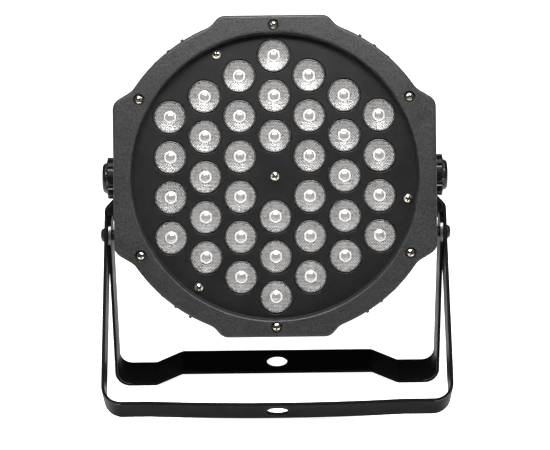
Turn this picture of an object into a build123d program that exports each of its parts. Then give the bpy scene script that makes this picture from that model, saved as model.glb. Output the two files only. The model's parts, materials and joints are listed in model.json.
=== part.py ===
from build123d import *
import os
from math import acos, asin, atan2, cos, degrees, hypot, radians, sin, sqrt

os.makedirs("parts", exist_ok=True)

# Flat LED par light with a double floor bracket. Millimetres, +Z up, the face looks towards -Y.
# The origin is the bottom centre of the box of the light standing on its two opened brackets.

# ---------------------------------------------------------------- driving dimensions
face_width = 200.0            # bezel across its two side flats
face_height = 199.2           # bezel across its top and bottom flats
lens_pitch = 25.0             # distance between neighbouring lenses of the hexagonal grid
lens_diameter = 20.0
strip_width = 25.0            # steel strip of both brackets
strip_thick = 2.0
main_length = 154.7           # knob axis to the outer face of the main bracket's bar, at its ends
main_half_width = 106.6       # outer face of the main bracket's legs
main_lean = 34.36             # degrees from vertical, leaning forward
main_bow = 1.7                # the long bar is bowed out by this at its middle
rear_pivot = 39.0             # knob axis to the rear bracket's pivot, along the main leg
rear_length = 105.2           # rear pivot to the outer face of the rear bracket's bar
rear_half_width = 104.3
rear_step = 8.4               # the middle of the rear bar is joggled inward by this
head_tilt = 10.46             # degrees, face turned upward
hang_hole = 13.5              # diameter of the hole in the middle of each bar

# Depths along the face normal, measured from the knob axis, positive towards the front.
bezel_front = 36.0
bezel_back = 26.4
plate_front = 28.0
plate_back = 26.4
lens_seat = 26.2
board_front = 15.5
board_back = 13.9
sink_back = 11.4
fin_back = 3.4
shell_back = -38.0
shell_wall = 2.5
shell_taper = 4.0             # degrees of draft on the rear shell
shell_edge_angle = 40.0       # slope of the bevel round its rear edge

# Distances from the middle plane along the knob axis.
boss_face = 94.5
leg_inner = 95.5              # inner face of the main bracket where the knob clamps it
grip_inner = 98.5
grip_outer = 106.0
knob_end = 109.0

fit = 0.05                    # gap between flat faces that slide on each other
half_strip = strip_width / 2

# ---------------------------------------------------------------- stance
lean = radians(main_lean)
tilt = radians(head_tilt)
# The lowest edge of the bowed front bar sets the height of the knob axis over the floor.
pivot_height = (main_length + main_bow) * cos(lean) + half_strip * sin(lean)
rear_pivot_height = pivot_height - rear_pivot * cos(lean)
# The rear bracket swings back until its own lowest edge meets the same floor.
rear_lean = atan2(half_strip, rear_length) + acos(rear_pivot_height / hypot(rear_length, half_strip))
front_reach = (main_length + main_bow) * sin(lean) + half_strip * cos(lean)
back_reach = 68.72            # from the knob axis to the rearmost point, the safety eye
pivot_y = (front_reach - back_reach) / 2

pivot = Vector(0, pivot_y, pivot_height)
head_plane = Plane(origin=pivot, x_dir=(1, 0, 0), z_dir=(0, -cos(tilt), sin(tilt)))
back_plane = Plane(origin=pivot, x_dir=(-1, 0, 0), z_dir=(0, cos(tilt), -sin(tilt)))
# On a bracket plane, local y runs up along the legs towards the pivot.
main_plane = Plane(origin=pivot, x_dir=(1, 0, 0), z_dir=(0, -cos(lean), sin(lean)))
rear_origin = main_plane.from_local_coords(Vector(0, -rear_pivot, 0))
face_axis = Axis(pivot, head_plane.z_dir)
rear_plane = Plane(origin=rear_origin, x_dir=(1, 0, 0), z_dir=(0, -cos(rear_lean), -sin(rear_lean)))


def head(depth):
    """Plane parallel to the face, at a depth along its normal."""
    return head_plane.offset(depth)


def back(depth):
    """Plane at the same depth as head(depth) that looks out of the back of the light."""
    return back_plane.offset(-depth)


def side(direction, distance, origin=pivot):
    """Plane square to the knob axis, looking outward; direction is 1 right, -1 left."""
    centre = origin + Vector(direction * distance, 0, 0)
    up = main_plane.y_dir
    return Plane(origin=centre, x_dir=up, z_dir=(direction, 0, 0))


def finish(part, label):
    """Label one finished node and write it as a STEP file."""
    part.label = label
    export_step(part, f"parts/{label}.step")


# ---------------------------------------------------------------- shared outlines
flat_corner = (33.2, face_height / 2)      # end of the top flat, quarter of the outline
arc_start = (39.2, 92.8)
arc_middle = (70.8, 73.5)
arc_end = (87.7, 53.8)
side_corner = (face_width / 2, 46.4)

with BuildSketch() as quarter:
    with BuildLine():
        Polyline((0, 0), (0, flat_corner[1]), flat_corner, arc_start)
        ThreePointArc(arc_start, arc_middle, arc_end)
        Polyline(arc_end, side_corner, (side_corner[0], 0), (0, 0))
    make_face()


def corners_of(sketch, point):
    """The four mirrored corners of an outline that lie at a point of its first quarter."""
    return sketch.vertices().filter_by(
        lambda v: abs(abs(v.X) - point[0]) < 0.01 and abs(abs(v.Y) - point[1]) < 0.01
    )


with BuildSketch() as face_outline:
    add(quarter.sketch)
    mirror(about=Plane.YZ)
    mirror(about=Plane.XZ)
    fillet(corners_of(face_outline, flat_corner) + corners_of(face_outline, side_corner), 7.5)
    fillet(corners_of(face_outline, arc_start) + corners_of(face_outline, arc_end), 11.0)

# The rear shell follows the bezel, a little inside it, and is flat where the bracket legs pass.
shell_side = 94.8
with BuildSketch() as shell_outline:
    add(offset(face_outline.sketch, amount=-0.9, mode=Mode.PRIVATE))
    Rectangle(2 * shell_side, face_height, mode=Mode.INTERSECT)


def polar(radius, angles):
    """Points on a circle, from angles in degrees."""
    return [(radius * cos(radians(a)), radius * sin(radians(a))) for a in angles]


# Lens grid: seven columns of a hexagon, with no lens at its centre.
lens_columns = []
for i in range(-3, 4):
    rows = 7 - abs(i)
    heights = [(k - (rows - 1) / 2) * lens_pitch for k in range(rows)]
    x = i * lens_pitch * sqrt(3) / 2
    lens_columns.append([(x, h) for h in heights if hypot(x, h) > 1])
lens_points = [point for column in lens_columns for point in column]

bezel_screw_points = polar(93.5, (90, 270)) + polar(96.6, (30, 150, 210, 330))
plate_screw_points = [(0, 0)] + polar(84.0, (115, 235, 350))
pillar_points = polar(78.0, (45, 135, 225, 315))


def dome(radius, low, sag):
    """Arc of a domed top, from the axis down to its rim, for a profile that is revolved."""
    ball = (radius**2 + sag**2) / (2 * sag)
    half = degrees(asin(radius / ball))
    return CenterArc((0, low + sag - ball), ball, 90 - half, half)


# ---------------------------------------------------------------- screws
def pan_screw(head_radius, head_height, shank_radius, shank_length):
    """Cross-recess pan head screw, its head seat on Z = 0 and its shank along -Z."""
    with BuildPart() as screw:
        with BuildSketch(Plane.XZ):
            rim = head_height * 0.35
            with BuildLine():
                dome(head_radius, rim, head_height - rim)
                Polyline((head_radius, rim), (head_radius, 0), (shank_radius, 0),
                         (shank_radius, -shank_length), (0, -shank_length), (0, head_height))
            make_face()
        revolve(axis=Axis.Z)
        with BuildSketch(Plane.XY.offset(head_height)):
            Rectangle(head_radius * 1.25, head_radius * 0.3)
            Rectangle(head_radius * 0.3, head_radius * 1.25)
        extrude(amount=-head_height * 0.75, mode=Mode.SUBTRACT)
    return screw.part


def group(plane, points, shape, label):
    """One node that repeats a shape, drawn along Z, at points of a plane."""
    with BuildPart(plane) as node:
        with Locations(*[(p[0], p[1], 0) for p in points]):
            add(shape)
    finish(node.part, label)


# ---------------------------------------------------------------- front of the head
opening_radius = 89.25        # inner edge of the bezel at its front
opening_back_radius = 88.1
screw_recess = 3.6
screw_seat = 33.8             # depth of the bezel screws' seats
bezel_skin = 2.6


def make_front_bezel():
    with BuildPart(head(bezel_back)) as bezel:
        with BuildSketch(head(bezel_back)):
            add(face_outline.sketch)
        extrude(amount=bezel_front - bezel_back)
        fillet(bezel.faces().sort_by(face_axis)[-1].edges(), 1.6)
        with BuildSketch(head(bezel_front)):
            Circle(opening_radius)
        with BuildSketch(head(plate_front)):
            Circle(opening_back_radius)
        loft(mode=Mode.SUBTRACT)
        # Rebate that the lens plate lies in.
        with BuildSketch(head(bezel_back)):
            Circle(91.4)
        extrude(amount=plate_front - bezel_back, mode=Mode.SUBTRACT)
        # Hollow back of the moulding, with a boss round each screw.
        with BuildSketch(head(bezel_back)):
            add(offset(face_outline.sketch, amount=-bezel_skin, mode=Mode.PRIVATE))
            Circle(93.6, mode=Mode.SUBTRACT)
            with Locations(*bezel_screw_points):
                Circle(5.6, mode=Mode.SUBTRACT)
        extrude(amount=bezel_front - bezel_back - bezel_skin, mode=Mode.SUBTRACT)
        with BuildSketch(head(screw_seat)):
            with Locations(*bezel_screw_points):
                Circle(screw_recess)
        extrude(amount=bezel_front - screw_seat, mode=Mode.SUBTRACT)
        with BuildSketch(head(bezel_back)):
            with Locations(*bezel_screw_points):
                Circle(1.75)
        extrude(amount=screw_seat - bezel_back, mode=Mode.SUBTRACT)
        circles = bezel.edges().filter_by(GeomType.CIRCLE)
        fillet(circles.filter_by(lambda e: abs(e.radius - opening_radius) < 0.01), 1.2)
    finish(bezel.part, "front_bezel")


def make_lens_plate():
    with BuildPart() as plate:
        with BuildSketch(head(plate_back)):
            Circle(91.1)
            with Locations(*lens_points):
                Circle(10.65, mode=Mode.SUBTRACT)
            with Locations(*plate_screw_points):
                Circle(1.6, mode=Mode.SUBTRACT)
        extrude(amount=plate_front - plate_back)
    finish(plate.part, "lens_plate")



# ---------------------------------------------------------------- lenses, emitters and heat sink
lens_base = 17.2
holder_wall = 0.8
holder_gap = 0.25


def make_lens():
    """Solid collimator lens, its rim at Z = 0 and its cone below."""
    radius = lens_diameter / 2
    base = lens_base - lens_seat
    with BuildPart() as lens:
        with BuildSketch(Plane.XZ):
            with BuildLine():
                Polyline((3.0, base), (4.2, base), (9.4, 0), (radius, 0), (radius, 1.5), (2.85, 1.5))
                dome(2.85, 1.5, 0.6)
                Polyline((0, 2.1), (0, base + 2.6), (3.0, base + 2.6), (3.0, base))
            make_face()
        revolve(axis=Axis.Z)
    return lens.part


def make_lens_holder():
    """Open conical cup that carries one lens, its foot on the board."""
    foot = board_front - lens_seat
    seat = -0.05
    inner_low = 4.2 + holder_gap
    inner_high = 9.4 + holder_gap
    with BuildPart() as holder:
        with BuildSketch(Plane.XZ):
            with BuildLine():
                Polyline((inner_low, foot), (inner_low, lens_base - lens_seat), (inner_high, seat),
                         (inner_high + holder_wall, seat),
                         (inner_low + holder_wall, lens_base - lens_seat),
                         (inner_low + holder_wall, foot), (inner_low, foot))
            make_face()
        revolve(axis=Axis.Z)
    return holder.part


def make_emitter():
    """Power LED: a slug and a clear dome, standing on Z = 0."""
    with BuildPart() as emitter:
        with BuildSketch(Plane.XZ):
            with BuildLine():
                Polyline((0, 2.8), (0, 0), (3.6, 0), (3.6, 1.2), (2.5, 1.2))
                dome(2.5, 1.2, 1.6)
            make_face()
        revolve(axis=Axis.Z)
    return emitter.part


def make_optics():
    lens = make_lens()
    for number, column in enumerate(lens_columns, start=1):
        group(head(lens_seat), column, lens, f"lens_column_{number}")
    group(head(board_front), lens_points, make_lens_holder().moved(
        Location((0, 0, lens_seat - board_front))), "lens_holders")
    group(head(board_front), lens_points, make_emitter(), "led_emitters")


board_radius = 86.0
standoff_radius = 2.6


def make_led_board():
    with BuildPart() as board:
        with BuildSketch(head(board_back)):
            Circle(board_radius)
            with Locations(*plate_screw_points):
                Circle(standoff_radius + 0.3, mode=Mode.SUBTRACT)
            with Locations(*pillar_points):
                Circle(1.7, mode=Mode.SUBTRACT)
        extrude(amount=board_front - board_back)
    finish(board.part, "led_board")


fin_count = 13
fin_pitch = 10.5
fin_thick = 1.6


def make_heat_sink():
    with BuildPart() as sink:
        with BuildSketch(head(sink_back)):
            Circle(board_radius)
        extrude(amount=board_back - sink_back)
        with BuildSketch(head(fin_back)):
            with GridLocations(fin_pitch, 0, fin_count, 1):
                Rectangle(fin_thick, 150)
            Circle(76, mode=Mode.INTERSECT)
            with Locations(*pillar_points):
                Circle(7, mode=Mode.SUBTRACT)
            with Locations(*supply_posts):
                Circle(4.5, mode=Mode.SUBTRACT)
            with Locations(*plate_screw_points):
                Circle(4.5, mode=Mode.SUBTRACT)
        extrude(amount=sink_back - fin_back)
        with BuildSketch(head(sink_back)):
            with Locations(*pillar_points):
                Circle(1.7)
            with Locations(*supply_posts):
                Circle(1.25)
        extrude(amount=board_back - sink_back, mode=Mode.SUBTRACT)
    finish(sink.part, "heat_sink")


def make_plate_standoffs():
    """Hexagonal-bodied spacers from the heat sink up to the lens plate."""
    with BuildPart() as standoff:
        with BuildSketch(Plane.XY):
            RegularPolygon(standoff_radius, 6)
            Circle(1.5, mode=Mode.SUBTRACT)
        extrude(amount=plate_back - board_back)
    group(head(board_back), plate_screw_points, standoff.part, "plate_standoffs")


# ---------------------------------------------------------------- power supply
supply_depth = -4.0           # front face of the supply board
supply_thick = 1.6
supply_size = (116.0, 64.0)
supply_posts = [(x, y) for x in (-52.5, 52.5) for y in (-26.25, 26.25)]


def make_supply_posts():
    with BuildPart() as post:
        with BuildSketch(Plane.XY):
            Circle(2.5)
            Circle(1.25, mode=Mode.SUBTRACT)
        extrude(amount=sink_back - supply_depth)
    group(head(supply_depth), supply_posts, post.part, "supply_posts")


def make_supply_board():
    with BuildPart() as board:
        with BuildSketch(head(supply_depth - supply_thick)):
            RectangleRounded(supply_size[0], supply_size[1], 2)
            with Locations(*supply_posts):
                Circle(1.6, mode=Mode.SUBTRACT)
        extrude(amount=supply_thick)
    finish(board.part, "supply_board")


def make_supply_parts():
    """Transformer, capacitors, coil and switch on the back of the supply board."""
    seat = supply_depth - supply_thick
    blocks = [(-8, 4, 30, 25, 14), (34, -12, 18, 14, 12), (-40, -10, 8, 26, 13), (34, 16, 22, 8, 13)]
    cans = [(-24, 20, 4.0, 14), (12, 22, 5.0, 14), (14, -20, 5.0, 14), (-24, -20, 4.0, 12)]
    with BuildPart(back(seat)) as parts:
        for x, y, width, height, tall in blocks:
            with Locations((-x, y, 0)):
                Box(width, height, tall, align=(Align.CENTER, Align.CENTER, Align.MIN))
        for x, y, radius, tall in cans:
            with Locations((-x, y, 0)):
                Cylinder(radius, tall, align=(Align.CENTER, Align.CENTER, Align.MIN))
    finish(parts.part, "supply_parts")


# ---------------------------------------------------------------- rear shell
boss_radius = 10.5
insert_radius = 6.0
insert_depth = 12.0
rib_reach = 103.6
rib_width = 2.0
screw_hole_floor = 4.0        # depth of the bottom of the blind screw holes
fan_opening = 27.0
display_centre = (-22.0, 58.0)
button_points = [(8.0, 58.0), (20.0, 58.0), (32.0, 58.0), (44.0, 58.0)]
button_names = ["menu", "up", "down", "enter"]
dmx_in_centre = (-58.0, -36.0)
dmx_out_centre = (-24.0, -60.0)
inlet_centre = (30.0, -54.0)
fuse_centre = (66.0, -22.0)
socket_screws = 12.0          # offset of the socket screws from the socket's centre, both ways
eye_centre = (0.0, 80.0)
eye_screw_points = [(-8.0, 80.0), (8.0, 80.0)]
inlet_screw_points = [(inlet_centre[0] + x, inlet_centre[1]) for x in (-20.0, 20.0)]
fan_screw_points = [(x, y) for x in (-25.0, 25.0) for y in (-25.0, 25.0)]


def socket_screw_points(centre):
    """The two screws of a panel socket, on one diagonal."""
    return [(centre[0] - 9.5, centre[1] + socket_screws), (centre[0] + 9.5, centre[1] - socket_screws)]


def make_shell_form(outline, front, rear, bevel):
    """Tapered closed block of the shell's outline, bevelled at its rear edge."""
    with BuildPart() as form:
        with BuildSketch(head(front)):
            add(outline)
        extrude(amount=rear + bevel - front, taper=shell_taper)
        extrude(form.faces().sort_by(face_axis)[0], amount=bevel, taper=shell_edge_angle)
    return form.part


def make_rear_housing():
    outer = make_shell_form(shell_outline.sketch, bezel_back, shell_back, 7.0)
    inner_outline = offset(shell_outline.sketch, amount=-shell_wall)
    inner = make_shell_form(inner_outline, bezel_back, shell_back + shell_wall, 5.0)
    rib_angles = [quarter_turn * 90 + 33.8 + 6.1 * k for quarter_turn in range(4) for k in range(5)]
    with BuildPart() as housing:
        add(outer)
        # Short ribs round the four rounded corners.
        with BuildSketch(head(-20.0)):
            for angle in rib_angles:
                with Locations(Rotation(0, 0, angle)):
                    with Locations((rib_reach - 6.0, 0)):
                        Rectangle(12.0, rib_width)
        extrude(amount=38.0)
        # Side bosses for the knob inserts.
        for direction in (1, -1):
            with BuildSketch(side(direction, boss_face - insert_depth - 2.0)):
                Circle(boss_radius)
            extrude(amount=insert_depth + 2.0)
        add(inner, mode=Mode.SUBTRACT)
        for direction in (1, -1):
            with BuildSketch(side(direction, boss_face - insert_depth - 2.0)):
                Circle(boss_radius)
            extrude(amount=insert_depth + 2.0)
        # Screw bosses for the bezel, grown into the wall.
        with BuildSketch(head(6.0)):
            with Locations(*bezel_screw_points):
                Circle(4.2)
        extrude(amount=bezel_back - 6.0 - fit)
        # Pillars that carry the heat sink.
        with BuildSketch(head(shell_back + shell_wall / 2)):
            with Locations(*pillar_points):
                Circle(3.6)
        extrude(amount=sink_back - shell_back - shell_wall / 2)
        with BuildSketch(head(screw_hole_floor)):
            with Locations(*pillar_points):
                Circle(1.25)
            with Locations(*bezel_screw_points):
                Circle(1.25)
        extrude(amount=bezel_back, mode=Mode.SUBTRACT)
        for direction in (1, -1):
            with BuildSketch(side(direction, boss_face - insert_depth)):
                Circle(insert_radius)
            extrude(amount=insert_depth + 1.0, mode=Mode.SUBTRACT)
        extrude(make_back_openings(), amount=shell_wall + 2.0, mode=Mode.SUBTRACT)
    finish(housing.part, "rear_housing")


def make_back_openings():
    """Cuts through the flat back: fan, vents, display, buttons, sockets and screw holes."""
    with BuildSketch(head(shell_back - 1.0)) as openings:
        Circle(fan_opening)
        with Locations(*fan_screw_points):
            Circle(1.7)
        with Locations((-60.0, 16.0), (60.0, 20.0)):
            with GridLocations(0, 7.0, 1, 6):
                SlotOverall(26.0, 3.0)
        with Locations(display_centre):
            Rectangle(30.4, 14.4)
        with Locations(*button_points):
            Circle(3.7)
        with Locations(dmx_in_centre, dmx_out_centre):
            Circle(12.1)
        with Locations((dmx_out_centre[0], dmx_out_centre[1] + 12.0)):
            Rectangle(7.6, 4.4)
        with Locations(inlet_centre):
            Rectangle(28.0, 20.4)
        with Locations(*inlet_screw_points):
            Circle(1.25)
        with Locations(fuse_centre):
            Circle(6.3)
        with Locations(*socket_screw_points(dmx_in_centre), *socket_screw_points(dmx_out_centre)):
            Circle(1.25)
        with Locations(*eye_screw_points):
            Circle(1.25)
    return openings.sketch


# ---------------------------------------------------------------- control panel
control_depth = -30.0         # front face of the control board
control_thick = 1.6
button_travel = 0.6
button_proud = 1.5


def make_control_panel():
    board_rear = control_depth - control_thick
    with BuildPart() as board:
        with BuildSketch(head(board_rear)):
            with Locations((4.0, 58.0)):
                RectangleRounded(92.0, 24.0, 2)
        extrude(amount=control_thick)
    finish(board.part, "control_board")

    with BuildPart() as display:
        with BuildSketch(back(board_rear)):
            with Locations((-display_centre[0], display_centre[1])):
                Rectangle(29.6, 13.6)
        extrude(amount=4.6)
    finish(display.part, "display_module")

    with BuildPart() as window:
        with BuildSketch(back(shell_back + 1.6)):
            with Locations((-display_centre[0], display_centre[1])):
                RectangleRounded(30.2, 14.2, 0.8)
        extrude(amount=1.6)
    finish(window.part, "display_window")

    with BuildPart() as switches:
        with BuildSketch(back(board_rear)):
            with Locations(*[(-x, y) for x, y in button_points]):
                Rectangle(6.0, 6.0)
        extrude(amount=1.6)
    finish(switches.part, "tact_switches")

    for name, (x, y) in zip(button_names, button_points):
        collar_seat = board_rear - 1.6 - button_travel - 0.2
        with BuildPart() as button:
            with BuildSketch(back(collar_seat)):
                with Locations((-x, y)):
                    Circle(4.4)
            extrude(amount=0.8)
            with BuildSketch(back(collar_seat)):
                with Locations((-x, y)):
                    Circle(3.4)
            extrude(amount=collar_seat - shell_back + button_proud)
            fillet(button.faces().sort_by(face_axis)[0].edges(), 0.6)
        finish(button.part, f"button_{name}")


# ---------------------------------------------------------------- sockets on the back
flange_thick = 1.6


def socket_flange(centre):
    """Flange of a panel socket, with its two screw holes and its round opening."""
    with BuildSketch(back(shell_back)) as flange:
        with Locations((-centre[0], centre[1])):
            RectangleRounded(26.0, 31.0, 2.5)
        with Locations(*[(-x, y) for x, y in socket_screw_points(centre)]):
            Circle(1.6, mode=Mode.SUBTRACT)
    return flange.sketch


def make_dmx_in_socket():
    """Three-pin male panel socket: an open round cup with pins standing in it."""
    centre = (-dmx_in_centre[0], dmx_in_centre[1])
    with BuildPart() as shell:
        extrude(socket_flange(dmx_in_centre), amount=flange_thick)
        with BuildSketch(back(shell_back)):
            with Locations(centre):
                Circle(11.8)
        extrude(amount=-18.0)
        with BuildSketch(back(shell_back - flange_thick)):
            with Locations(centre):
                Circle(9.5)
        extrude(amount=-14.0 - flange_thick, mode=Mode.SUBTRACT)
    finish(shell.part, "dmx_in_socket")

    spots = [(centre[0] + x, centre[1] + y) for x, y in polar(4.0, (90, 210, 330))]
    with BuildPart() as pins:
        with BuildSketch(back(shell_back + 14.0)):
            with Locations(*spots):
                Circle(1.2)
        extrude(amount=11.0)
        fillet(pins.faces().sort_by(face_axis)[:3].edges(), 0.7)
    finish(pins.part, "dmx_in_pins")


def make_dmx_out_socket():
    """Three-pin female panel socket: a round insert with three holes in an annular groove."""
    centre = (-dmx_out_centre[0], dmx_out_centre[1])
    spots = [(centre[0] + x, centre[1] + y) for x, y in polar(4.0, (90, 210, 330))]
    with BuildPart() as shell:
        extrude(socket_flange(dmx_out_centre), amount=flange_thick)
        with BuildSketch(back(shell_back)):
            with Locations(centre):
                Circle(11.8)
        extrude(amount=-18.0)
        with BuildSketch(back(shell_back - flange_thick)):
            with Locations(centre):
                Circle(9.5)
                Circle(7.4, mode=Mode.SUBTRACT)
        extrude(amount=-12.0, mode=Mode.SUBTRACT)
        with BuildSketch(back(shell_back - flange_thick)):
            with Locations(*spots):
                Circle(1.4)
        extrude(amount=-12.0, mode=Mode.SUBTRACT)
        # Slot of the release tab, above the round opening.
        with BuildSketch(back(shell_back - flange_thick)):
            with Locations((centre[0], centre[1] + 11.6)):
                Rectangle(7.0, 3.6)
        extrude(amount=-6.0, mode=Mode.SUBTRACT)
    finish(shell.part, "dmx_out_socket")

    with BuildPart() as tab:
        with BuildSketch(back(shell_back + 1.8)):
            with Locations((centre[0], centre[1] + 11.6)):
                RectangleRounded(6.4, 3.0, 0.5)
        extrude(amount=5.2)
        fillet(tab.faces().sort_by(face_axis)[0].edges(), 0.5)
    finish(tab.part, "dmx_release_tab")


def make_inlet():
    """Mains inlet: a shrouded socket with three flat blades, and its fixing flange."""
    centre = (-inlet_centre[0], inlet_centre[1])
    with BuildPart() as inlet:
        with BuildSketch(back(shell_back)):
            with Locations(centre):
                RectangleRounded(49.0, 23.0, 4.0)
            with Locations(*[(-x, y) for x, y in inlet_screw_points]):
                Circle(1.6, mode=Mode.SUBTRACT)
        extrude(amount=2.4)
        with BuildSketch(back(shell_back)):
            with Locations(centre):
                Rectangle(27.6, 20.0)
        extrude(amount=-20.0)
        with BuildSketch(back(shell_back - 2.4)):
            with Locations(centre):
                RectangleRounded(24.2, 16.4, 2.6)
        extrude(amount=-17.0, mode=Mode.SUBTRACT)
    finish(inlet.part, "power_inlet")

    with BuildPart() as blades:
        with BuildSketch(back(shell_back + 14.6)):
            with Locations((centre[0] - 7.0, centre[1] + 2.0), (centre[0] + 7.0, centre[1] + 2.0),
                           (centre[0], centre[1] - 2.0)):
                Rectangle(2.0, 4.0)
        extrude(amount=13.0)
        chamfer(blades.faces().sort_by(face_axis)[:3].edges(), 0.5)
    finish(blades.part, "inlet_blades")


def make_fuse_holder():
    with BuildPart() as holder:
        with BuildSketch(back(shell_back + 20.0)):
            with Locations((-fuse_centre[0], fuse_centre[1])):
                Circle(6.0)
        extrude(amount=20.0)
        with BuildSketch(back(shell_back)):
            with Locations((-fuse_centre[0], fuse_centre[1])):
                Circle(8.2)
        extrude(amount=1.6)
        with BuildSketch(back(shell_back - 1.6)):
            with Locations((-fuse_centre[0], fuse_centre[1])):
                Circle(4.6)
        extrude(amount=-18.0, mode=Mode.SUBTRACT)
    finish(holder.part, "fuse_holder")

    with BuildPart() as cap:
        with BuildSketch(back(shell_back - 1.6)):
            with Locations((-fuse_centre[0], fuse_centre[1])):
                Circle(6.6)
        extrude(amount=4.4)
        fillet(cap.faces().sort_by(face_axis)[0].edges(), 1.0)
        with BuildSketch(back(shell_back - 6.0)):
            with Locations((-fuse_centre[0], fuse_centre[1])):
                Rectangle(7.0, 1.2)
        extrude(amount=-1.0, mode=Mode.SUBTRACT)
        with BuildSketch(back(shell_back + 13.0)):
            with Locations((-fuse_centre[0], fuse_centre[1])):
                Circle(4.5)
        extrude(amount=14.6)
    finish(cap.part, "fuse_cap")


# ---------------------------------------------------------------- fan
fan_size = 60.0
fan_front = -20.5
fan_rear = -35.5
blade_count = 7
shaft_radius = 1.5


def make_fan():
    with BuildPart() as frame:
        with BuildSketch(head(fan_rear)):
            RectangleRounded(fan_size, fan_size, 4)
            Circle(28.2, mode=Mode.SUBTRACT)
            with Locations(*fan_screw_points):
                Circle(1.7, mode=Mode.SUBTRACT)
        extrude(amount=fan_front - fan_rear)
        # Motor plate on four arms at the front side of the frame.
        with BuildSketch(head(fan_front - 2.0)):
            Circle(11.0)
            Rectangle(58.0, 2.6)
            Rectangle(2.6, 58.0)
            Circle(shaft_radius + fit, mode=Mode.SUBTRACT)
        extrude(amount=2.0)
    finish(frame.part, "fan_frame")

    hub_rear = fan_rear + 1.2
    hub_front = fan_front - 2.8
    with BuildPart() as rotor:
        with BuildSketch(head(hub_rear)):
            Circle(11.5)
        extrude(amount=hub_front - hub_rear)
        fillet(rotor.faces().sort_by(face_axis)[0].edges(), 1.2)
        with BuildSketch(head(hub_front)):
            Circle(shaft_radius)
        extrude(amount=2.6)
        with BuildSketch(head(hub_rear + 1.6)):
            with PolarLocations(19.2, blade_count):
                Rectangle(16.0, 1.4)
        extrude(amount=hub_front - hub_rear - 2.2, dir=head_plane.z_dir)
    finish(rotor.part, "fan_rotor")


guard_rings = (8.0, 14.5, 21.0, 27.5)
guard_wire = 0.8


def make_fan_guard():
    """Round wire guard over the fan opening, with four flat eyes for its screws."""
    wire_depth = shell_back - 0.9 - guard_wire
    with BuildPart() as guard:
        for radius in guard_rings:
            with BuildSketch(Plane(origin=head(wire_depth).origin, x_dir=(1, 0, 0), z_dir=head_plane.y_dir)):
                with Locations((radius, 0)):
                    Circle(guard_wire)
            revolve(axis=face_axis)
        with BuildSketch(head(wire_depth + 0.4)):
            for angle in (45, 135):
                with Locations(Rotation(0, 0, angle)):
                    Rectangle(64.0, 2.0)
            with Locations(*fan_screw_points):
                Circle(3.6)
            with Locations(*fan_screw_points):
                Circle(1.7, mode=Mode.SUBTRACT)
        extrude(amount=guard_wire + 0.5 - fit)
    finish(guard.part, "fan_guard")


# ---------------------------------------------------------------- safety eye
eye_thick = 2.0
eye_rise = 16.0
eye_hole = 5.5


def make_safety_eye():
    """Bent steel lug for a safety cable: a foot on the back and a drilled ear standing out."""
    with BuildPart() as eye:
        with BuildSketch(back(shell_back)):
            with Locations((0, eye_centre[1])):
                RectangleRounded(28.0, 12.0, 2.5)
            with Locations(*eye_screw_points):
                Circle(1.7, mode=Mode.SUBTRACT)
        extrude(amount=eye_thick)
        ear = Plane(origin=back(shell_back).origin, x_dir=(1, 0, 0), z_dir=head_plane.y_dir)
        with BuildSketch(ear.offset(eye_centre[1] + 4.0)):
            with Locations((0, eye_rise / 2)):
                RectangleRounded(20.0, eye_rise, 6.0)
            with Locations((0, eye_rise / 4)):
                Rectangle(20.0, eye_rise / 2)
            with Locations((0, eye_rise / 2 + 1.5)):
                Circle(eye_hole / 2 + 0.75, mode=Mode.SUBTRACT)
        extrude(amount=eye_thick)
    finish(eye.part, "safety_eye")


# ---------------------------------------------------------------- knobs and pivots
stud_radius = 4.0
stud_end = boss_face - insert_depth + 1.0
flute_count = 8


def make_side_hardware(direction, name):
    """Insert, friction washer, knob and knob washer of one side."""
    with BuildPart() as insert:
        with BuildSketch(side(direction, boss_face - insert_depth)):
            Circle(insert_radius)
            Circle(stud_radius + 0.06, mode=Mode.SUBTRACT)
        extrude(amount=insert_depth - fit)
    finish(insert.part, f"threaded_insert_{name}")

    with BuildPart() as washer:
        with BuildSketch(side(direction, boss_face)):
            Circle(12.0)
            Circle(stud_radius + 0.5, mode=Mode.SUBTRACT)
        extrude(amount=leg_inner - boss_face - fit)
    finish(washer.part, f"friction_washer_{name}")

    with BuildPart() as plain:
        with BuildSketch(side(direction, leg_inner + strip_thick + fit)):
            Circle(9.0)
            Circle(stud_radius, mode=Mode.SUBTRACT)
        extrude(amount=grip_inner - leg_inner - strip_thick - fit)
    finish(plain.part, f"knob_washer_{name}")

    with BuildPart() as stud:
        with BuildSketch(side(direction, stud_end)):
            Circle(stud_radius)
        extrude(amount=grip_outer - 1.0 - stud_end)
        chamfer(stud.faces().sort_by(Axis.X)[0 if direction > 0 else -1].edges(), 0.8)
    finish(stud.part, f"knob_stud_{name}")

    with BuildPart() as knob:
        with BuildSketch(side(direction, grip_inner)):
            Circle(13.2)
            with PolarLocations(15.6, flute_count):
                Circle(3.6, mode=Mode.SUBTRACT)
        extrude(amount=grip_outer - grip_inner)
        outer = knob.faces().sort_by(Axis.X)[-1 if direction > 0 else 0]
        fillet(outer.edges(), 0.9)
        with BuildSketch(side(direction, grip_outer)):
            Circle(9.8)
        extrude(amount=knob_end - grip_outer)
        cap = knob.faces().sort_by(Axis.X)[-1 if direction > 0 else 0]
        fillet(cap.edges(), 2.4)
        with BuildSketch(side(direction, grip_inner)):
            Circle(stud_radius)
        extrude(amount=grip_outer - 1.0 - grip_inner, mode=Mode.SUBTRACT)
    finish(knob.part, f"knob_{name}")


# ---------------------------------------------------------------- brackets
jog_start = 14.9              # along the leg from the knob axis, outer face
jog_end = 25.7
hinge_hole = 2.55             # radius of the rear pivot holes
hinge_pin = 2.5
rivet_tail = 1.5
main_bend = 12.0              # outer bend radius of the main bracket's corners
rear_bend = 10.0
step_outer = 78.0             # the joggle of the rear bar runs between these
step_inner = 61.0


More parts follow.
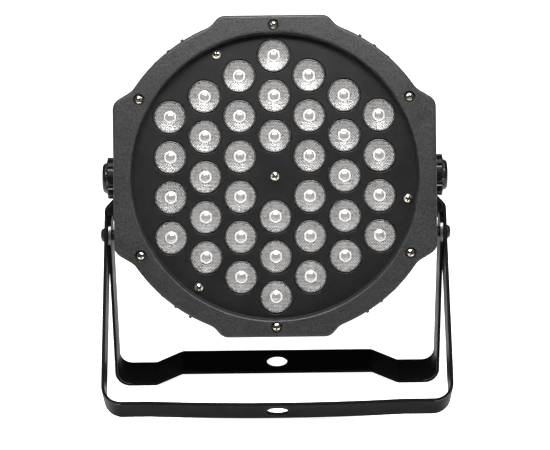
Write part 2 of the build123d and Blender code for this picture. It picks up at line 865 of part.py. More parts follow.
def rounded_leg_tops(plane, origin, half_width):
    """Side view of a bracket: a strip with a full round at its top, as an extrudable cutter."""
    with BuildPart() as cutter:
        with BuildSketch(Plane(origin=origin, x_dir=plane.y_dir, z_dir=(1, 0, 0))):
            Circle(half_strip)
            with Locations((-100.0, 0)):
                Rectangle(200.0, strip_width)
        extrude(amount=half_width + 5.0, both=True)
    return cutter.part


def make_main_bracket():
    low = -main_length
    foot = main_half_width
    clamp = leg_inner + strip_thick
    with BuildPart() as bracket:
        with BuildSketch(main_plane):
            with BuildLine():
                FilletPolyline((clamp, half_strip), (clamp, -jog_start), (foot, -jog_end), (foot, low),
                               (foot - 30.0, low), radius=(6.0, 6.0, main_bend))
                mirror(about=Plane.YZ)
                ThreePointArc((foot - 30.0, low), (0, low - main_bow), (30.0 - foot, low))
                offset(amount=strip_thick, side=Side.RIGHT)
            make_face()
        extrude(amount=half_strip, both=True)
        add(rounded_leg_tops(main_plane, pivot, foot), mode=Mode.INTERSECT)
        with BuildSketch(side(1, -foot)):
            Circle(stud_radius + 0.5)
        extrude(amount=2 * foot, mode=Mode.SUBTRACT)
        with BuildSketch(side(1, -foot, rear_origin)):
            Circle(hinge_hole)
        extrude(amount=2 * foot, mode=Mode.SUBTRACT)
        with BuildSketch(bar_plane(main_plane, main_length + main_bow + 1.0)):
            Circle(hang_hole / 2)
        extrude(amount=strip_thick + 2.0, mode=Mode.SUBTRACT)
    finish(bracket.part, "main_bracket")


def make_rear_bracket():
    low = -rear_length
    foot = rear_half_width
    with BuildPart() as bracket:
        with BuildSketch(rear_plane):
            with BuildLine():
                FilletPolyline((foot, half_strip), (foot, low), (step_outer, low),
                               (step_inner, low + rear_step), (0, low + rear_step),
                               radius=(rear_bend, 4.0, 4.0))
                mirror(about=Plane.YZ)
                offset(amount=strip_thick, side=Side.RIGHT)
            make_face()
        extrude(amount=half_strip, both=True)
        add(rounded_leg_tops(rear_plane, rear_origin, foot), mode=Mode.INTERSECT)
        with BuildSketch(side(1, -foot, rear_origin)):
            Circle(hinge_hole)
        extrude(amount=2 * foot, mode=Mode.SUBTRACT)
        with BuildSketch(bar_plane(rear_plane, rear_length - rear_step + 1.0)):
            Circle(hang_hole / 2)
        extrude(amount=strip_thick + 2.0, mode=Mode.SUBTRACT)
    finish(bracket.part, "rear_bracket")


def bar_plane(plane, distance):
    """Plane across a bracket's legs at a distance below its pivot, looking up along them."""
    return Plane(origin=plane.from_local_coords(Vector(0, -distance, 0)), x_dir=(1, 0, 0),
                 z_dir=plane.y_dir)


def make_pivot_rivets():
    """One shoulder rivet each side: domed head outside, pin through both legs, formed tail."""
    for direction, name in ((1, "right"), (-1, "left")):
        tail = rear_half_width - strip_thick - fit
        head_seat = main_half_width
        with BuildPart() as rivet:
            with BuildSketch(side(direction, tail - rivet_tail, rear_origin)):
                Circle(3.4)
            extrude(amount=rivet_tail)
            with BuildSketch(side(direction, tail, rear_origin)):
                Circle(hinge_pin)
            extrude(amount=head_seat - tail)
            with BuildSketch(side(direction, head_seat, rear_origin)):
                Circle(4.3)
            extrude(amount=2.9)
            fillet(rivet.faces().sort_by(Axis.X)[-1 if direction > 0 else 0].edges(), 2.2)
        finish(rivet.part, f"pivot_rivet_{name}")


# ---------------------------------------------------------------- fasteners
def make_fasteners():
    group(head(screw_seat), bezel_screw_points, pan_screw(2.85, 1.7, 1.2, 18.0), "bezel_screws")
    group(head(plate_front), plate_screw_points, pan_screw(2.85, 2.1, 1.45, 7.0), "plate_screws")
    group(head(board_front), pillar_points, pan_screw(2.6, 1.7, 1.2, 10.0), "heat_sink_screws")
    group(back(supply_depth - supply_thick), [(-x, y) for x, y in supply_posts],
          pan_screw(2.6, 1.7, 1.2, 8.0), "supply_screws")
    group(back(shell_back - 1.35), [(-x, y) for x, y in fan_screw_points],
          pan_screw(2.9, 1.9, 1.45, 17.0), "fan_screws")
    sockets = socket_screw_points(dmx_in_centre) + socket_screw_points(dmx_out_centre)
    group(back(shell_back - flange_thick), [(-x, y) for x, y in sockets],
          pan_screw(2.6, 1.5, 1.2, 8.0), "socket_screws")
    group(back(shell_back - 2.4), [(-x, y) for x, y in inlet_screw_points],
          pan_screw(2.6, 1.5, 1.2, 8.0), "inlet_screws")
    group(back(shell_back - eye_thick), [(-x, y) for x, y in eye_screw_points],
          pan_screw(2.8, 1.8, 1.2, 9.0), "eye_screws")


make_front_bezel()
make_lens_plate()
make_optics()
make_led_board()
make_heat_sink()
make_plate_standoffs()
make_supply_posts()
make_supply_board()
make_supply_parts()
make_rear_housing()
make_control_panel()
make_dmx_in_socket()
make_dmx_out_socket()
make_inlet()
make_fuse_holder()
make_fan()
make_fan_guard()
make_safety_eye()
make_side_hardware(1, "right")
make_side_hardware(-1, "left")
make_main_bracket()
make_rear_bracket()
make_pivot_rivets()
make_fasteners()
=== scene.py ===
import json
from math import ceil, cos, hypot, pi, radians, sin, sqrt

import bmesh
import bpy
from mathutils import Matrix, Vector


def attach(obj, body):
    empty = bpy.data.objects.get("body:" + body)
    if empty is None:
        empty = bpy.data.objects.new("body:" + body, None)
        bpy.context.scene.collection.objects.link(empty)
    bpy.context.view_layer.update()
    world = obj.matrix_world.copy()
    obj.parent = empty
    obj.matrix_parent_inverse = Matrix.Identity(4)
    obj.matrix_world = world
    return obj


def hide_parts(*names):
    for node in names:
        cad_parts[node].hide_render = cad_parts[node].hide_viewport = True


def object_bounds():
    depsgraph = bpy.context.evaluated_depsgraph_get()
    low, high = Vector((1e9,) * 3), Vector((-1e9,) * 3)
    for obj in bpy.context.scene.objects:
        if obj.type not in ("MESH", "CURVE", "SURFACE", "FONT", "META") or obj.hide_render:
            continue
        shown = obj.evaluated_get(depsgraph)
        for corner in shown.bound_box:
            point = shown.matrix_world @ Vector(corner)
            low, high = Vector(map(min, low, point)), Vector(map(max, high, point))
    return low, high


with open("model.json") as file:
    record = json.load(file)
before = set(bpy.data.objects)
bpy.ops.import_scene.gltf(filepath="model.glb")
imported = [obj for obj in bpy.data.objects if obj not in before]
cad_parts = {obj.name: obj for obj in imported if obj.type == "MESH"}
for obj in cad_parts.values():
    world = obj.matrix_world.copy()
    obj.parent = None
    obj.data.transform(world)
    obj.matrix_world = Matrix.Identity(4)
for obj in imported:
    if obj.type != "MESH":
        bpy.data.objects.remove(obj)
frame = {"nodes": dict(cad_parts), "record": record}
cad_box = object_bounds()

MM = 0.001
weld_gap = 2e-6          # metres; CAD corners closer than this are one corner

# ------------------------------------------------------------------ frame of the head
joints = {j["name"]: j for j in frame["record"]["behaviour"]["joints"]}
slot_of = {s["node"]: s["material_slot"] for s in frame["record"]["subparts"]}
body_of = {n: b for b, names in frame["record"]["behaviour"]["bodies"].items() for n in names}
pivot = Vector(joints["head_tilt"]["pos_m"])
face = Vector(joints["fan_spin"]["axis"]).normalized()
right = Vector((1, 0, 0))
up = face.cross(right).normalized()


def from_columns(x_axis, y_axis, z_axis, origin):
    """Matrix of a place, from its three axes and its origin."""
    columns = (x_axis, y_axis, z_axis, origin)
    return Matrix([[c[i] for c in columns] for i in range(3)] + [[0, 0, 0, 1]])


def placed(x, v, w):
    """Matrix of a place on the head: x to the right, v up the face, w out of the face, in mm."""
    origin = pivot + right * x * MM + up * v * MM + face * w * MM
    return from_columns(right, up, face, origin)


def head_coords(point):
    """A world point in the head's x, v, w, in mm."""
    d = (Vector(point) - pivot) / MM
    return Vector((d.dot(right), d.dot(up), d.dot(face)))


def head_points(node):
    """All corners of a CAD node, in the head's x, v, w."""
    source = frame["nodes"][node]
    return [head_coords(source.matrix_world @ v.co) for v in source.data.vertices]


# ------------------------------------------------------------------ mesh helpers
def welded(node):
    """A bmesh of a CAD node with its seams welded."""
    bm = bmesh.new()
    bm.from_mesh(frame["nodes"][node].data)
    bmesh.ops.remove_doubles(bm, verts=bm.verts, dist=weld_gap)
    return bm


def islands(node):
    """(lowest, highest) corner in head coordinates of every separate solid of a node."""
    bm = welded(node)
    seen = set()
    found = []
    for start in bm.verts:
        if start in seen:
            continue
        stack = [start]
        seen.add(start)
        points = []
        while stack:
            vert = stack.pop()
            points.append(head_coords(vert.co))
            for edge in vert.link_edges:
                other = edge.other_vert(vert)
                if other not in seen:
                    seen.add(other)
                    stack.append(other)
        low = Vector([min(p[i] for p in points) for i in range(3)])
        high = Vector([max(p[i] for p in points) for i in range(3)])
        found.append((low, high))
    bm.free()
    return sorted(found, key=lambda pair: (round(pair[0].x, 1), round(pair[0].y, 1)))


def new_object(name, data):
    """An object of a mesh, curve, light or camera, linked to the scene."""
    obj = bpy.data.objects.new(name, data)
    bpy.context.scene.collection.objects.link(obj)
    return obj


def smooth(mesh, angle):
    """Smooth shading, sharp where faces meet at more than an angle in degrees."""
    mesh.shade_smooth()
    mesh.set_sharp_from_angle(angle=radians(angle))


def evaluated_mesh(obj):
    """A new mesh of an object as it stands, with its modifiers or its curve's fill."""
    depsgraph = bpy.context.evaluated_depsgraph_get()
    return bpy.data.meshes.new_from_object(obj.evaluated_get(depsgraph))


def settle(obj):
    """Applies an object's modifiers to its mesh."""
    mesh = evaluated_mesh(obj)
    old = obj.data
    obj.modifiers.clear()
    obj.data = mesh
    bpy.data.meshes.remove(old)


def set_materials(mesh, *materials):
    mesh.materials.clear()
    for material in materials:
        mesh.materials.append(material)


def adopt(obj, node):
    """The piece stands for a CAD node: it rides on its body, and the node is hidden."""
    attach(obj, body_of[node])
    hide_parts(node)


def refined(node, width, segments, angle):
    """The node's own shape, which replaces it, with edges over an angle rounded by a width in mm."""
    coplanar = radians(0.6)
    bm = welded(node)
    bmesh.ops.dissolve_limit(bm, angle_limit=coplanar, verts=bm.verts, edges=bm.edges)
    bmesh.ops.recalc_face_normals(bm, faces=bm.faces)
    mesh = bpy.data.meshes.new(node + "_shell")
    bm.to_mesh(mesh)
    bm.free()
    obj = new_object(node + "_shell", mesh)
    bevel = obj.modifiers.new("edges", "BEVEL")
    bevel.width = width * MM
    bevel.segments = segments
    bevel.limit_method = "ANGLE"
    bevel.angle_limit = radians(angle)
    bevel.use_clamp_overlap = True
    smooth(mesh, angle)
    level = obj.modifiers.new("flats", "WEIGHTED_NORMAL")
    level.weight = 100
    level.keep_sharp = True
    settle(obj)
    adopt(obj, node)
    return obj


class Sculpt:
    """Gathers vertices and faces of one piece, in mm, through a matrix."""

    def __init__(self):
        self.verts = []
        self.faces = []
        self.tones = []

    def patch(self, matrix, points, faces, tone):
        """Adds faces over a list of points; tone is the number of their material."""
        base = len(self.verts)
        for p in points:
            self.verts.append(matrix @ Vector((p[0] * MM, p[1] * MM, p[2] * MM)))
        for f in faces:
            self.faces.append([base + i for i in f])
            self.tones.append(tone)

    def lathe(self, matrix, profile, steps, tone):
        """Turns (radius, height) pairs, listed from the outside bottom inward over the top."""
        rings = []
        for r, h in profile:
            if r < 1e-6:
                rings.append([(0, 0, h)])
            else:
                turns = [2 * pi * k / steps for k in range(steps)]
                rings.append([(r * cos(a), r * sin(a), h) for a in turns])
        flat = [p for ring in rings for p in ring]
        starts = [0]
        for ring in rings:
            starts.append(starts[-1] + len(ring))
        faces = []
        for a, b, na, nb in zip(starts, starts[1:], map(len, rings), map(len, rings[1:])):
            for k in range(steps):
                n = (k + 1) % steps
                quad = [a + k % na, a + n % na, b + n % nb, b + k % nb]
                corners = list(dict.fromkeys(quad))
                if len(corners) > 2:
                    faces.append(corners)
        self.patch(matrix, flat, faces, tone)

    def build(self, name, materials, angle):
        mesh = bpy.data.meshes.new(name)
        mesh.from_pydata(self.verts, [], self.faces)
        set_materials(mesh, *materials)
        for polygon, tone in zip(mesh.polygons, self.tones):
            polygon.material_index = tone
        mesh.validate()
        smooth(mesh, angle)
        return new_object(name, mesh)


# ------------------------------------------------------------------ materials
class Shade:
    """A procedural material: one Principled shader with noise on colour, roughness and relief."""

    def __init__(self, name, metallic=0.0, specular=0.5, coat=0.0, coat_roughness=0.1):
        self.material = bpy.data.materials.new(name)
        self.material.use_nodes = True
        self.tree = self.material.node_tree
        self.tree.nodes.clear()
        output = self.tree.nodes.new("ShaderNodeOutputMaterial")
        self.shader = self.tree.nodes.new("ShaderNodeBsdfPrincipled")
        self.tree.links.new(self.shader.outputs[0], output.inputs[0])
        self.shader.inputs["Metallic"].default_value = metallic
        self.shader.inputs["Specular IOR Level"].default_value = specular
        self.shader.inputs["Coat Weight"].default_value = coat
        self.shader.inputs["Coat Roughness"].default_value = coat_roughness
        self.where = self.tree.nodes.new("ShaderNodeTexCoord").outputs["Object"]
        self.relief_in = None

    def noise(self, scale, detail, stretch=(1, 1, 1)):
        """Noise value from 0 to 1 with features of 1/scale metres."""
        mapping = self.tree.nodes.new("ShaderNodeMapping")
        mapping.inputs["Scale"].default_value = stretch
        texture = self.tree.nodes.new("ShaderNodeTexNoise")
        texture.inputs["Scale"].default_value = scale
        texture.inputs["Detail"].default_value = detail
        self.tree.links.new(self.where, mapping.inputs["Vector"])
        self.tree.links.new(mapping.outputs[0], texture.inputs["Vector"])
        return texture.outputs["Fac"]

    def colour(self, value, dark, light, start=0.3, end=0.7):
        """Base colour between two colours, over the middle of a noise value's range."""
        ramp = self.tree.nodes.new("ShaderNodeValToRGB")
        ramp.color_ramp.elements[0].position = start
        ramp.color_ramp.elements[1].position = end
        ramp.color_ramp.elements[0].color = (*dark, 1)
        ramp.color_ramp.elements[1].color = (*light, 1)
        self.tree.links.new(value, ramp.inputs["Fac"])
        self.tree.links.new(ramp.outputs["Color"], self.shader.inputs["Base Color"])

    def rough(self, value, low, high, start=0.3, end=0.7):
        """Roughness between two values, over the middle of a noise value's range."""
        node = self.tree.nodes.new("ShaderNodeMapRange")
        node.inputs["From Min"].default_value = start
        node.inputs["From Max"].default_value = end
        node.inputs["To Min"].default_value = low
        node.inputs["To Max"].default_value = high
        self.tree.links.new(value, node.inputs["Value"])
        self.tree.links.new(node.outputs["Result"], self.shader.inputs["Roughness"])

    def relief(self, value, depth_mm, strength=1.0):
        """Adds a bump of a depth; later ones lie under the earlier ones."""
        bump = self.tree.nodes.new("ShaderNodeBump")
        bump.inputs["Distance"].default_value = depth_mm * MM
        bump.inputs["Strength"].default_value = strength
        self.tree.links.new(value, bump.inputs["Height"])
        if self.relief_in is None:
            self.tree.links.new(bump.outputs["Normal"], self.shader.inputs["Normal"])
        else:
            self.tree.links.new(bump.outputs["Normal"], self.relief_in)
        self.relief_in = bump.inputs["Normal"]


def grey(value, warmth=0.0):
    return (value * (1 + warmth), value, value * (1 - warmth))


# In every finish, dark and light are its base colour's extremes and the two numbers after
# them its lowest and highest roughness.
def moulded_plastic(name, dark, light, rough_low, rough_high, grain, depth, specular):
    """Spark-eroded moulding: fine pits, a little variation from place to place."""
    shade = Shade(name, specular=specular)
    fine = shade.noise(grain, 2.0)
    shade.colour(fine, grey(dark), grey(light))
    shade.rough(shade.noise(60, 4.0), rough_low, rough_high)
    shade.relief(fine, depth)
    shade.relief(shade.noise(35, 3.0), 0.15, 0.3)
    return shade.material


def powder_coat(name, dark, light, rough_low, rough_high, specular=0.5):
    """Baked powder paint: slight orange peel and a few dull spots."""
    shade = Shade(name, specular=specular)
    shade.colour(shade.noise(420, 4.0), grey(dark), grey(light))
    shade.rough(shade.noise(55, 5.0), rough_low, rough_high)
    shade.relief(shade.noise(900, 2.0), 0.02)
    return shade.material


def metal(name, dark, light, rough_low, rough_high):
    """Bare or plated metal with fine directional scratches."""
    scratch = (1, 1, 12)
    shade = Shade(name, metallic=1.0)
    shade.colour(shade.noise(300, 4.0), dark, light)
    shade.rough(shade.noise(500, 3.0, scratch), rough_low, rough_high)
    shade.relief(shade.noise(1800, 2.0, scratch), 0.01)
    return shade.material


def plastic(name, dark, light, rough_low, rough_high, specular=0.5, coat=0.0):
    """Smooth plastic or rubber: faint clouding and very fine grain."""
    shade = Shade(name, specular=specular, coat=coat)
    shade.colour(shade.noise(250, 4.0), dark, light)
    shade.rough(shade.noise(90, 4.0), rough_low, rough_high)
    shade.relief(shade.noise(1100, 2.0), 0.015)
    return shade.material


def lens_finish(name, dark, light, rough_low, rough_high, metallic):
    """Moulded acrylic over a mirror-bright cone, as an opaque colour: its tones are painted light
    and shade of the clear lens; glossy, faintly mottled.
    """
    shade = Shade(name, metallic=metallic, coat=0.25, coat_roughness=0.08)
    shade.colour(shade.noise(700, 3.0), dark, light)
    shade.rough(shade.noise(300, 2.0), rough_low, rough_high)
    return shade.material


finishes = {
    "black_abs": moulded_plastic("black_abs", 0.002, 0.024, 0.36, 0.46,
                                 grain=1100, depth=0.14, specular=0.32),
    "matt_plate": powder_coat("matt_plate", 0.004, 0.0065, 0.34, 0.42, specular=0.22),
    "holder_plastic": plastic("holder_plastic", grey(0.010), grey(0.016), 0.45, 0.6),
    "board_white": powder_coat("board_white", 0.55, 0.65, 0.35, 0.5),
    "emitter": plastic("emitter", (0.75, 0.62, 0.2), (0.85, 0.75, 0.35), 0.2, 0.3),
    "aluminium": metal("aluminium", grey(0.55), grey(0.68), 0.3, 0.45),
    "board_green": plastic("board_green", (0.01, 0.08, 0.03), (0.015, 0.11, 0.045), 0.35, 0.5),
    "components": plastic("components", grey(0.03), grey(0.07), 0.4, 0.6),
    "display_glass": plastic("display_glass", (0.02, 0.004, 0.004), (0.03, 0.006, 0.006),
                             0.08, 0.14, coat=0.5),
    "display_body": plastic("display_body", grey(0.012), grey(0.02), 0.4, 0.5),
    "button_rubber": plastic("button_rubber", grey(0.02), grey(0.03), 0.35, 0.5),
    "socket_black": powder_coat("socket_black", 0.010, 0.018, 0.3, 0.42),
    "contact_metal": metal("contact_metal", (0.62, 0.55, 0.38), (0.75, 0.68, 0.5), 0.2, 0.35),
    "bracket_paint": powder_coat("bracket_paint", 0.0025, 0.0045, 0.30, 0.42, specular=0.006),
    "knob_plastic": plastic("knob_plastic", grey(0.004), grey(0.007), 0.16, 0.26, specular=0.2),
    "plated_steel": metal("plated_steel", (0.36, 0.32, 0.27), (0.56, 0.51, 0.45), 0.16, 0.30),
    # Near-black steel for the screws' cross recesses: painted shade in the recess, not the steel's
    # own colour.
    "recess_steel": metal("recess_steel", (0.02, 0.018, 0.015), (0.05, 0.045, 0.04), 0.3, 0.5),
    # Paint for the brackets' narrow leg edges: its higher specular is real shine, its lighter colour
    # a painted highlight.
    "paint_edge": powder_coat("paint_edge", 0.02, 0.04, 0.25, 0.35, specular=0.8),
    "black_steel": powder_coat("black_steel", 0.004, 0.008, 0.28, 0.36, specular=0.2),
    "brass_insert": metal("brass_insert", (0.55, 0.38, 0.14), (0.7, 0.5, 0.22), 0.25, 0.4),
    "washer_rubber": plastic("washer_rubber", grey(0.012), grey(0.02), 0.6, 0.8),
    "fan_plastic": plastic("fan_plastic", grey(0.010), grey(0.018), 0.35, 0.5),
}
# The lens tones paint how light shows in a clear lens: the cells mid grey, the ring paler, the dome
# darker, the sides near-black.
lens_tones = [
    lens_finish("lens_cells", grey(0.36, 0.03), grey(0.50, 0.03), 0.24, 0.36, 0.35),
    # The ring round the dome is paler than the cells: a painted highlight.
    lens_finish("lens_ring_highlight", grey(0.50, 0.03), grey(0.60, 0.03), 0.2, 0.3, 0.3),
    lens_finish("lens_dome", grey(0.20, 0.02), grey(0.26, 0.02), 0.10, 0.16, 0.3),
    # Near-black tone on the cells' sides, the lens rim and the floor under the cells: painted shade
    # in the grooves and round the lens.
    lens_finish("lens_painted_shade", grey(0.025, 0.02), grey(0.05, 0.02), 0.25, 0.35, 0.3),
]
CELL_TONE, RING_HIGHLIGHT_TONE, DOME_TONE, PAINTED_SHADE_TONE = range(len(lens_tones))


# ------------------------------------------------------------------ lenses
lens_columns = [f"lens_column_{k}" for k in range(1, 8)]
lens_radius = 10.0
cone_depth = 9.0         # the lens narrows behind its rim to where the emitter sits
cone_end_radius = 4.2
cone_top_radius = 9.4
rim_height = 1.5
rim_drop = 0.25          # from the rim's top to the field of cells
rim_land = 0.2           # width of the rim's flat top outside the cells
rim_bevel_height = 0.15
rim_bevel_width = 0.12
cells_outer = 9.25
cells_inner = 4.0
cell_pitch = 1.0
cell_height = 0.22
cell_margin = 0.15       # no cell has its middle closer than this to the field's edge
dish_depth = 1.0
ring_inner = 2.9
ring_height = 1.1        # inner edge of the ring round the dome
ring_crest = 0.05        # the ring's crown stands this far over that edge
ring_shoulder = 0.05     # and its outer shoulder lies this far under it
ring_groove = 0.1        # depth of the groove between crown and dome
cell_floor_gap = 0.02    # from the cells' feet to the floor under them, which is painted dark as shade
dome_sag = 0.8
rim_steps = 64
ring_steps = 40
dome_steps = 8


def dish(r):
    """Height of the field of cells: a shallow cone that falls towards the middle."""
    return -dish_depth * (cells_outer - r) / (cells_outer - cells_inner)


def lens_cells():
    """Hexagonal pillow facets of one lens: points in mm round its axis, crown and side faces."""
    points, crowns, sides = [], [], []
    side_length = cell_pitch / sqrt(3)
    row_pitch = cell_pitch * sqrt(3) / 2
    rows = ceil(cells_outer / row_pitch) + 1
    shoulder = (0.6, 0.85)      # share of the cell's width, share of its height
    foot = (1.0, 0.0)
    for row in range(-rows, rows + 1):
        y = row * row_pitch
        shift = 0.5 * (row % 2)
        for k in range(-rows, rows + 1):
            x = (k + shift) * cell_pitch
            r = hypot(x, y)
            if r > cells_outer - cell_margin or r < cells_inner + cell_margin:
                continue
            base = len(points)
            points.append((x, y, cell_height + dish(r)))
            for share, height in (shoulder, foot):
                for corner in range(6):
                    a = radians(30 + 60 * corner)
                    px = x + side_length * share * cos(a)
                    py = y + side_length * share * sin(a)
                    reach = hypot(px, py)
                    scale = min(max(reach, cells_inner), cells_outer) / reach
                    z = height * cell_height + dish(reach * scale)
                    points.append((px * scale, py * scale, z))
            for corner in range(6):
                n = (corner + 1) % 6
                crowns.append((base, base + 1 + corner, base + 1 + n))
                sides.append((base + 1 + corner, base + 7 + corner, base + 7 + n, base + 1 + n))
    return points, crowns, sides


def dome_profile():
    """The ball over the emitter, from the ring's inner edge to the middle."""
    ball = (ring_inner**2 + dome_sag**2) / (2 * dome_sag)
    radii = [ring_inner * (1 - k / dome_steps) for k in range(dome_steps + 1)]
    return [(r, ring_height + dome_sag - ball + sqrt(ball**2 - r**2)) for r in radii]


def make_lenses():
    """Every lens: cone and rim, field of cells, ring and dome, one piece for each column."""
    points, crowns, sides = lens_cells()
    field = rim_height - rim_drop
    under = field - cell_floor_gap
    cone = [(cone_end_radius, -cone_depth), (cone_top_radius, 0.0), (lens_radius, 0.0),
            (lens_radius, rim_height - rim_bevel_height),
            (lens_radius - rim_bevel_width, rim_height),
            (cells_outer + rim_land, rim_height), (cells_outer, field)]
    floor = [(cells_outer, under), (cells_inner, under - dish_depth)]
    ring = [(cells_inner, field - dish_depth), (cells_inner - 0.15, ring_height - ring_shoulder),
            (cells_inner - 0.45, ring_height + ring_crest),
            (ring_inner + 0.15, ring_height - ring_groove), (ring_inner, ring_height)]
    dome = dome_profile()
    for number, node in enumerate(lens_columns, 1):
        piece = Sculpt()
        for low, high in islands(node):
            at = placed((low.x + high.x) / 2, (low.y + high.y) / 2, low.z + cone_depth)
            piece.lathe(at, cone, rim_steps, PAINTED_SHADE_TONE)
            piece.lathe(at, floor, rim_steps, PAINTED_SHADE_TONE)
            piece.lathe(at, ring, ring_steps, RING_HIGHLIGHT_TONE)
            piece.lathe(at, dome, ring_steps, DOME_TONE)
            raised = at @ Matrix.Translation((0, 0, field * MM))
            piece.patch(raised, points, crowns, CELL_TONE)
            piece.patch(raised, points, sides, PAINTED_SHADE_TONE)
        adopt(piece.build(f"lenses_{number}", lens_tones, angle=70.0), node)


# ------------------------------------------------------------------ screws
HEAD_TONE, RECESS_SHADE_TONE = range(2)
screw_steps = 64
shank_steps = 40
next_screw_turn = 37.0   # degrees
# Shares of the radius where the head has a ring of points, closer together over the recess.
screw_rings = [0.0, 0.1, 0.18, 0.26, 0.34, 0.42, 0.5, 0.58, 0.64, 0.74, 0.86, 0.95, 1.0]


def screw_mesh(piece, at, radius, height, shank):
    """Pan head with a tapered cross recess whose faces are painted near-black as shade, its seat at
    0, added to a piece.
    """
    arm_half = radius * 0.15
    arm_reach = radius * 0.60
    depth = height * 0.85
    taper = 0.55                # share of the recess's depth lost at an arm's end
    crown_height = height * 0.6
    rim = height * 0.38
    shank_radius = radius * 0.42
    ball = (radius**2 + crown_height**2) / (2 * crown_height)

    def surface(r):
        return height - ball + sqrt(max(ball**2 - r**2, 0.0))

    points, faces, sunk = [(0, 0, surface(0) - depth)], [], {0}
    for share in screw_rings[1:]:
        r = radius * share
        for k in range(screw_steps):
            a = 2 * pi * k / screw_steps
            x, y = r * cos(a), r * sin(a)
            z = surface(r) if share < 1.0 else rim
            near = min(abs(x), abs(y))
            far = max(abs(x), abs(y))
            if near < arm_half and far < arm_reach:
                z -= depth * (1 - taper * far / arm_reach)
                sunk.add(len(points))
            points.append((x, y, z))
    for k in range(screw_steps):
        faces.append((0, 1 + k, 1 + (k + 1) % screw_steps))
    for ring in range(len(screw_rings) - 2):
        a, b = 1 + ring * screw_steps, 1 + (ring + 1) * screw_steps
        for k in range(screw_steps):
            n = (k + 1) % screw_steps
            faces.append((a + k, b + k, b + n, a + n))
    recess = [f for f in faces if len(sunk.intersection(f)) > 1]
    crown = [f for f in faces if len(sunk.intersection(f)) < 2]
    piece.patch(at, points, crown, HEAD_TONE)
    # The recess faces take the near-black steel: painted shade in the cross.
    piece.patch(at, points, recess, RECESS_SHADE_TONE)
    body = [(0, -shank), (shank_radius, -shank), (shank_radius, 0), (radius * 0.98, 0),
            (radius, height * 0.08), (radius, rim)]
    piece.lathe(at, body, shank_steps, HEAD_TONE)


def make_screws(node, radius, height, shank, turn):
    """Detailed screws at the places of a CAD node's screws, each turned further than the last."""
    piece = Sculpt()
    for number, (low, high) in enumerate(islands(node)):
        at = placed((low.x + high.x) / 2, (low.y + high.y) / 2, high.z - height)
        spin = Matrix.Rotation(radians(turn + next_screw_turn * number), 4, "Z")
        screw_mesh(piece, at @ spin, radius, height, shank)
    steels = [finishes["plated_steel"], finishes["recess_steel"]]
    adopt(piece.build(node + "_heads", steels, angle=50.0), node)


# ------------------------------------------------------------------ lens plate
plate_thickness = 1.6
plate_edge = 0.25        # radius of the softened edges
plate_hole_radius = 10.65
plate_rim_steps = 128
plate_hole_steps = 48


def circle(curve, x, y, radius, count):
    """A closed ring of points in a curve, in mm."""
    spline = curve.splines.new("POLY")
    spline.points.add(count - 1)
    for k, point in enumerate(spline.points):
        a = 2 * pi * k / count
        point.co = ((x + radius * cos(a)) * MM, (y + radius * sin(a)) * MM, 0, 1)
    spline.use_cyclic_u = True


def make_plate():
    """Pressed plate cut from a filled outline, with softened edges round every hole."""
    points = head_points("lens_plate")
    front = max(p.z for p in points)
    radius = (max(p.x for p in points) - min(p.x for p in points)) / 2
    curve = bpy.data.curves.new("lens_plate_outline", "CURVE")
    curve.dimensions = "2D"
    curve.fill_mode = "BOTH"
    curve.extrude = (plate_thickness / 2 - plate_edge) * MM
    curve.bevel_depth = plate_edge * MM
    curve.bevel_resolution = 2
    circle(curve, 0, 0, radius - plate_edge, plate_rim_steps)
    for node in lens_columns:
        for low, high in islands(node):
            x, v = (low.x + high.x) / 2, (low.y + high.y) / 2
            circle(curve, x, v, plate_hole_radius + plate_edge, plate_hole_steps)
    outline = new_object("lens_plate_curve", curve)
    mesh = evaluated_mesh(outline)
    bpy.data.objects.remove(outline)
    mesh.transform(placed(0, 0, front - plate_thickness / 2))
    set_materials(mesh, finishes["matt_plate"])
    smooth(mesh, angle=40.0)
    adopt(new_object("lens_plate_sheet", mesh), "lens_plate")


# ------------------------------------------------------------------ edges of the CAD shapes
leg_x = 0.09             # metres; a bracket's legs lie farther out than this
edge_facing = 0.8        # a leg's narrow face looks at least this much along the strip's edge


def strip_normal(mesh):
    """Normal of the plane that a bent strip's legs lie in, from their narrow faces."""
    total = Vector((0, 0, 0))
    for polygon in mesh.polygons:
        across = abs(polygon.normal.x) < 0.01 and polygon.area > 1e-6
        if across and abs(polygon.center.x) > leg_x:
            n = polygon.normal if polygon.normal.y > 0 else -polygon.normal
            total += n * polygon.area
    return total.normalized()


def make_bracket(node):
    """Bent strip with rounded edges; the paint on its legs' narrow edges is shinier and lighter, the
    lighter colour a painted highlight.
    """
    mesh = refined(node, width=0.45, segments=3, angle=32.0).data
    set_materials(mesh, finishes[slot_of[node]], finishes["paint_edge"])
    spine = strip_normal(mesh)
    for polygon in mesh.polygons:
        # Narrow edge faces take the lighter paint, a painted highlight.
        narrow = abs(polygon.normal.dot(spine)) > edge_facing and abs(polygon.center.x) > leg_x
        polygon.material_index = 1 if narrow else 0


def make_bezel():
    mesh = refined("front_bezel", width=0.5, segments=2, angle=40.0).data
    set_materials(mesh, finishes["black_abs"])


def paint_cad_nodes():
    """Gives every carried-over CAD node the finish of its slot."""
    for name, node in frame["nodes"].items():
        for material_slot in node.material_slots:
            if slot_of[name] in finishes:
                material_slot.link = "OBJECT"
                material_slot.material = finishes[slot_of[name]]


# ------------------------------------------------------------------ floor, light and camera
centre = Vector([(a + b) / 2 for a, b in zip(*cad_box)])

floor_front = -0.35      # metres; the paper ends here, so that black paint mirrors little of it
floor_half_width = 1.0
wall_y = 2.2
wall_top = 1.4
bend_radius = 1.0
bend_steps = 12
paper_glow = 0.95        # keeps the paper evenly pale
air_strength = 0.06

camera_distance = 1411.0         # mm from the pivot, square to the face
lens_mm = 145.6364
sensor_mm = 36.0
camera_dip = radians(1.251494)   # the view's middle lies below the pivot
camera_roll = radians(-0.65)


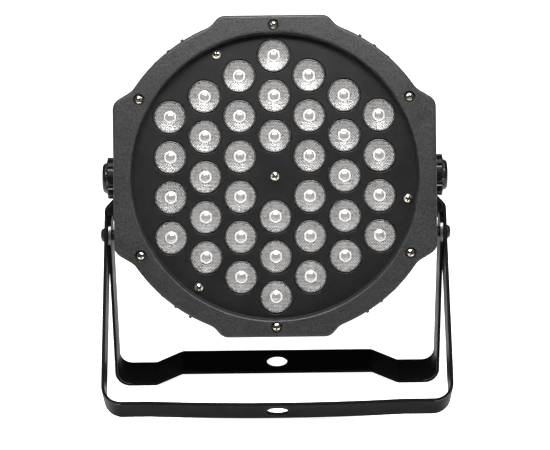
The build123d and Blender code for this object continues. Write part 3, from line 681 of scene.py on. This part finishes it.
def make_floor():
    """A pale sweep: floor under the object, curving up into a wall far behind."""
    profile = [(floor_front, 0.0)]
    for k in range(bend_steps + 1):
        a = radians(90 * k / bend_steps)
        y = wall_y - bend_radius + bend_radius * sin(a)
        profile.append((y, bend_radius - bend_radius * cos(a)))
    profile.append((wall_y, wall_top))
    verts = [(x, y, z) for x in (-floor_half_width, floor_half_width) for y, z in profile]
    n = len(profile)
    faces = [(k, k + n, k + n + 1, k + 1) for k in range(n - 1)]
    mesh = bpy.data.meshes.new("studio_floor")
    mesh.from_pydata(verts, [], faces)
    mesh.shade_smooth()
    shade = Shade("studio_paper", specular=0.1)
    shade.colour(shade.noise(3.0, 2.0), grey(0.90), grey(0.93))
    shade.rough(shade.noise(5.0, 2.0), 0.8, 0.9)
    shade.shader.inputs["Emission Color"].default_value = (1, 1, 1, 1)
    shade.shader.inputs["Emission Strength"].default_value = paper_glow
    mesh.materials.append(shade.material)
    floor = new_object("studio_floor", mesh)


def area_light(name, place, target, size, power):
    """A soft box at a place that faces a target, in metres and watts."""
    light = bpy.data.lights.new(name, "AREA")
    light.shape = "RECTANGLE"
    light.size, light.size_y = size
    light.energy = power
    aim = (Vector(target) - Vector(place)).to_track_quat("-Z", "Y").to_matrix().to_4x4()
    new_object(name, light).matrix_world = Matrix.Translation(place) @ aim


def make_lights():
    """Long box over the object, large box above it, and a weak strip on either side."""
    area_light("top_box", (0, -0.40, 0.58), centre + Vector((0, 0, 0.05)), (0.50, 0.16), 8.5)
    area_light("high_box", (0, -0.2, 1.9), centre, (1.6, 1.2), 22)
    for name, side in (("left_box", -1), ("right_box", 1)):
        area_light(name, (1.3 * side, -0.5, 0.5), centre, (0.3, 0.9), 3)


def make_world():
    world = bpy.data.worlds.new("studio_air")
    world.use_nodes = True
    background = world.node_tree.nodes["Background"]
    background.inputs["Color"].default_value = (1, 1, 1, 1)
    background.inputs["Strength"].default_value = air_strength
    bpy.context.scene.world = world


def make_camera():
    """Square to the face, far enough back for a long lens."""
    data = bpy.data.cameras.new("photo_camera")
    data.sensor_width = sensor_mm
    data.lens = lens_mm
    data.clip_start, data.clip_end = 0.05, 20.0
    camera = new_object("photo_camera", data)
    place = pivot + face * camera_distance * MM
    dip = Matrix.Rotation(-camera_dip, 3, right)
    roll = Matrix.Rotation(camera_roll, 3, face)
    camera.matrix_world = from_columns(roll @ right, roll @ (dip @ up), roll @ (dip @ face), place)
    bpy.context.scene.camera = camera


make_lenses()
make_plate()
make_screws("bezel_screws", radius=2.85, height=1.7, shank=12.0, turn=12.0)
make_screws("plate_screws", radius=2.85, height=2.1, shank=6.0, turn=45.0)
make_bracket("main_bracket")
make_bracket("rear_bracket")
make_bezel()
paint_cad_nodes()

make_floor()
make_world()
make_lights()
make_camera()
bpy.context.scene.view_settings.view_transform = "Standard"
